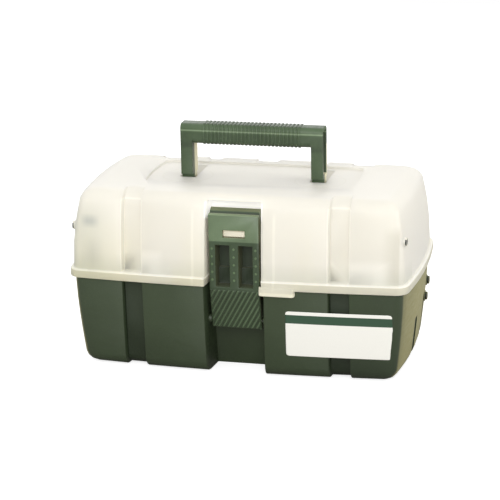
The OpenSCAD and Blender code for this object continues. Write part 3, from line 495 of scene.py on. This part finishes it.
# the boxes of edges that stay sharp are given for the right half: slivers at the end recesses and
# under the hinge, the band's upper edge, the lid rivet's pad, and the latch's columns of dots
mergeWithin, flatWithin, bevelSteps = 2e-6, math.radians(0.6), 2
endRecessBox = ((0.150, -1, 0.0), (1, 1, 0.0605))
underHinge = ((0.11, 0.078, 0.075), (0.17, 1, 0.11))
bandEdge = ((-1, -1, 0.1070), (1, 1, 0.1100))
rivetPad = ((0.15, -0.09, 0.138), (1, -0.06, 0.168))
dotColumns = [((inner, -0.094, 0.0975), (outer, -0.0915, 0.1435))
              for inner, outer in ((-0.001, 0.0035), (0.0205, 0.0265))]
softened = {
    "base_tub": {"round": 0.0008, "sharp": 24, "leave": [endRecessBox, underHinge]},
    "lid_shell": {"round": 0.0007, "sharp": 24, "leave": [bandEdge, rivetPad]},
    "latch": {"round": 0.0004, "sharp": 28, "leave": dotColumns},
    "handle": {"round": 0.0004, "sharp": 28, "leave": []},
    "lower_tray": {"round": 0.0005, "sharp": 28, "leave": []},
    "upper_tray": {"round": 0.0005, "sharp": 28, "leave": []},
}


def inside(point, boxes):
    place = (abs(point.x), point.y, point.z)
    return any(all(lo[i] <= place[i] <= hi[i] for i in range(3)) for lo, hi in boxes)


def soften(name, s):
    mesh = nodes[name].data.copy()
    work = bmesh.new()
    work.from_mesh(mesh)
    bmesh.ops.remove_doubles(work, verts=work.verts, dist=mergeWithin)
    bmesh.ops.dissolve_limit(work, angle_limit=flatWithin, verts=work.verts, edges=work.edges)
    rounded = work.edges.layers.float.new("bevel_weight_edge")
    for face in work.faces:
        face.smooth = True
    for edge in work.edges:
        if edge.calc_face_angle(0.0) > math.radians(s["sharp"]):
            kept = inside((edge.verts[0].co + edge.verts[1].co) / 2, s["leave"])
            edge[rounded] = 0.0 if kept else 1.0
            edge.smooth = not kept
    work.to_mesh(mesh)
    work.free()
    mesh.name = name + "Moulding"
    obj = bpy.data.objects.new(name + "Moulding", mesh)
    bpy.context.scene.collection.objects.link(obj)
    bevel = obj.modifiers.new("edges", "BEVEL")
    bevel.width = s["round"]
    bevel.segments = bevelSteps
    bevel.limit_method = "WEIGHT"
    bevel.use_clamp_overlap = False
    bevel.harden_normals = True
    wear(obj, finishOf(name))
    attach(obj, bodyOf[name])
    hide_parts(name)


for name, s in softened.items():
    soften(name, s)
print("mouldings softened:", ", ".join(softened))


# label place on the front, right of the latch

label = {"left": 0.0555, "right": 0.1675, "rightLow": 0.1695, "low": 0.0265, "high": 0.0765,
         "corner": 0.003, "thick": 0.00022, "off": 0.00030, "columns": 81, "rows": 17, "rowsFrom": 0.1,
         "edgeRows": 9, "edgeShare": 0.08, "stripLow": 0.735, "stripHigh": 0.925,
         "paper": (0.78, 0.77, 0.72), "paperDark": 0.96, "paperLight": 1.03,
         "strip": (0.030, 0.070, 0.040), "rough": 0.32,
         "grainScale": 700.0, "grainStrength": 0.2, "grainDeep": 0.0001}
tubShape = {"halfWide": 0.1775, "halfDeep": 0.091, "bow": 0.0079, "bandLow": 0.0996,
            "frontDraft": 0.005, "endDraft": 0.0085, "draftPower": 1.5, "corner": 0.0105,
            "cornerKept": 0.98}


def tubFront(x, z, t):
    # front wall: a parabola across, drawn in towards the floor by a power of the height,
    # then a quarter round towards the end
    lean = (np.clip(t["bandLow"] - z, 0, None) / t["bandLow"]) ** t["draftPower"]
    half = t["halfWide"] - t["endDraft"] * lean
    wall = -(t["halfDeep"] - t["frontDraft"] * lean) - t["bow"] * (1 - (x / half) ** 2)
    past = np.clip(np.abs(x) - (half - t["corner"]), 0, t["corner"] * t["cornerKept"])
    return wall + t["corner"] - np.sqrt(t["corner"] ** 2 - past ** 2)


def gridMesh(name, points, uv=None):
    # quads between neighbouring rows and columns of a grid of points
    rows, cols = points.shape[:2]
    index = np.arange(rows * cols).reshape(rows, cols)
    corners = [index[:-1, :-1], index[:-1, 1:], index[1:, 1:], index[1:, :-1]]
    quads = np.stack(corners, -1).reshape(-1, 4)
    mesh = bpy.data.meshes.new(name)
    mesh.from_pydata(points.reshape(-1, 3).tolist(), [], quads.tolist())
    if uv is not None:
        layer = mesh.uv_layers.new(name="surface")
        spread = uv.reshape(-1, 2)[quads.reshape(-1)]
        layer.data.foreach_set("uv", spread.astype(np.float32).ravel())
    mesh.polygons.foreach_set("use_smooth", np.ones(len(quads), bool))
    obj = bpy.data.objects.new(name, mesh)
    bpy.context.scene.collection.objects.link(obj)
    return obj


def labelSheet(s):
    # rows by height, close together near the top and bottom, where a quarter round draws them in
    heights = np.concatenate([np.linspace(0, s["edgeShare"], s["edgeRows"]),
                              np.linspace(s["rowsFrom"], 1 - s["rowsFrom"], s["rows"]),
                              np.linspace(1 - s["edgeShare"], 1, s["edgeRows"])])
    v, u = np.meshgrid(heights, np.linspace(0, 1, s["columns"]), indexing="ij")
    z = s["low"] + (s["high"] - s["low"]) * v
    edge = np.minimum(z - s["low"], s["high"] - z)
    past = np.clip(s["corner"] - edge, 0, None)
    inset = s["corner"] - np.sqrt(np.clip(s["corner"] ** 2 - past ** 2, 0, None))
    right = s["right"] + (s["rightLow"] - s["right"]) * (1 - v)
    x = (s["left"] + inset) + (right - s["left"] - 2 * inset) * u
    y = tubFront(x, z, tubShape) - s["off"]
    obj = gridMesh("labelPlate", np.stack([x, y, z], -1), np.stack([u, v], -1))
    solid = obj.modifiers.new("paper", "SOLIDIFY")
    solid.thickness = s["thick"]
    solid.offset = -1.0
    return obj


def labelPaper(s):
    # plain coated paper with faint fibres and one printed strip between two heights of the sheet
    mat, tree, out = newTree("labelPaper")
    uv = add(tree, "ShaderNodeUVMap", uv_map="surface").outputs[0]
    v = parts(tree, uv)[1]
    inStrip = calc(tree, "MULTIPLY", calc(tree, "GREATER_THAN", v, s["stripLow"]),
                   calc(tree, "LESS_THAN", v, s["stripHigh"]))
    fibres = noise(tree, objectPlace(tree), s["grainScale"], detail=5.0, rough=0.7)
    paper = blend(tree, fibres, rgba(s["paper"], s["paperDark"]), rgba(s["paper"], s["paperLight"]))
    bump = add(tree, "ShaderNodeBump", put={"Height": fibres, "Strength": s["grainStrength"],
                                            "Distance": s["grainDeep"]})
    shader = add(tree, "ShaderNodeBsdfPrincipled", put={
        "Base Color": blend(tree, inStrip, paper, rgba(s["strip"])), "Roughness": s["rough"],
        "Normal": bump.outputs[0]})
    tree.links.new(shader.outputs[0], out.inputs[0])
    return mat


labelPlate = labelSheet(label)
wear(labelPlate, labelPaper(label))
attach(labelPlate, "base")
print("label place on the tub")


# floor, surroundings and lamps

studio = {"floorHalf": 2.2, "floorLines": 9, "floor": (0.36, 0.35, 0.32), "seen": (0.55, 0.55, 0.55),
          "lift": 0.70, "world": 0.95}
lamps = {
    "keyLamp": {"at": (0.2, -1.9, 1.0), "to": (0, 0, 0.1), "size": 1.4, "watts": 27.0},
    "sideLamp": {"at": (1.6, 0.15, 0.40), "to": (0.17, 0, 0.08), "size": 1.0, "watts": 9.5},
    "backLamp": {"at": (-0.5, 1.3, 1.2), "to": (0, 0, 0.15), "size": 1.2, "watts": 7.5},
}


def anyRay(tree, kinds):
    # 1 for a ray of one of these kinds
    path = add(tree, "ShaderNodeLightPath").outputs
    seen = path[kinds[0]]
    for kind in kinds[1:]:
        seen = calc(tree, "MAXIMUM", seen, path[kind])
    return seen


def layFloor(s):
    # the camera sees the floor brighter than it lights the box
    line = np.linspace(-s["floorHalf"], s["floorHalf"], s["floorLines"])
    x, y = np.meshgrid(line, line)
    obj = gridMesh("studioFloor", np.stack([x, y, np.zeros_like(x)], -1))
    mat, tree, out = newTree("studioFloor")
    seen = anyRay(tree, ["Is Camera Ray", "Is Transmission Ray"])
    colour = blend(tree, seen, rgba(s["floor"]), rgba(s["seen"]))
    matte = add(tree, "ShaderNodeBsdfDiffuse", put={"Color": colour})
    glow = add(tree, "ShaderNodeEmission", put={"Strength": calc(tree, "MULTIPLY", seen, s["lift"])})
    both = add(tree, "ShaderNodeAddShader", put={0: matte.outputs[0], 1: glow.outputs[0]})
    tree.links.new(both.outputs[0], out.inputs[0])
    obj.data.materials.append(mat)


def lightWorld(s):
    # white where it is seen, a little dimmer as a light
    world = bpy.data.worlds.new("studioAir")
    world.use_nodes = True
    tree = world.node_tree
    tree.nodes.clear()
    out = tree.nodes.new("ShaderNodeOutputWorld")
    seen = anyRay(tree, ["Is Camera Ray", "Is Transmission Ray", "Is Glossy Ray"])
    dim = add(tree, "ShaderNodeBackground", put={"Color": (1, 1, 1, 1), "Strength": s["world"]})
    white = add(tree, "ShaderNodeBackground", put={"Color": (1, 1, 1, 1), "Strength": 1.0})
    mix = add(tree, "ShaderNodeMixShader", put={0: seen, 1: dim.outputs[0], 2: white.outputs[0]})
    tree.links.new(mix.outputs[0], out.inputs[0])
    bpy.context.scene.world = world


def hangLamp(name, s):
    data = bpy.data.lights.new(name, "AREA")
    data.shape = "SQUARE"
    data.size = s["size"]
    data.energy = s["watts"]
    lamp = bpy.data.objects.new(name, data)
    place = Vector(s["at"])
    turn = (Vector(s["to"]) - place).to_track_quat("-Z", "Y").to_matrix().to_4x4()
    lamp.matrix_world = Matrix.Translation(place) @ turn
    bpy.context.scene.collection.objects.link(lamp)


layFloor(studio)
lightWorld(studio)
for name, s in lamps.items():
    hangLamp(name, s)
bpy.context.scene.view_settings.view_transform = "Standard"
print("studio lit")
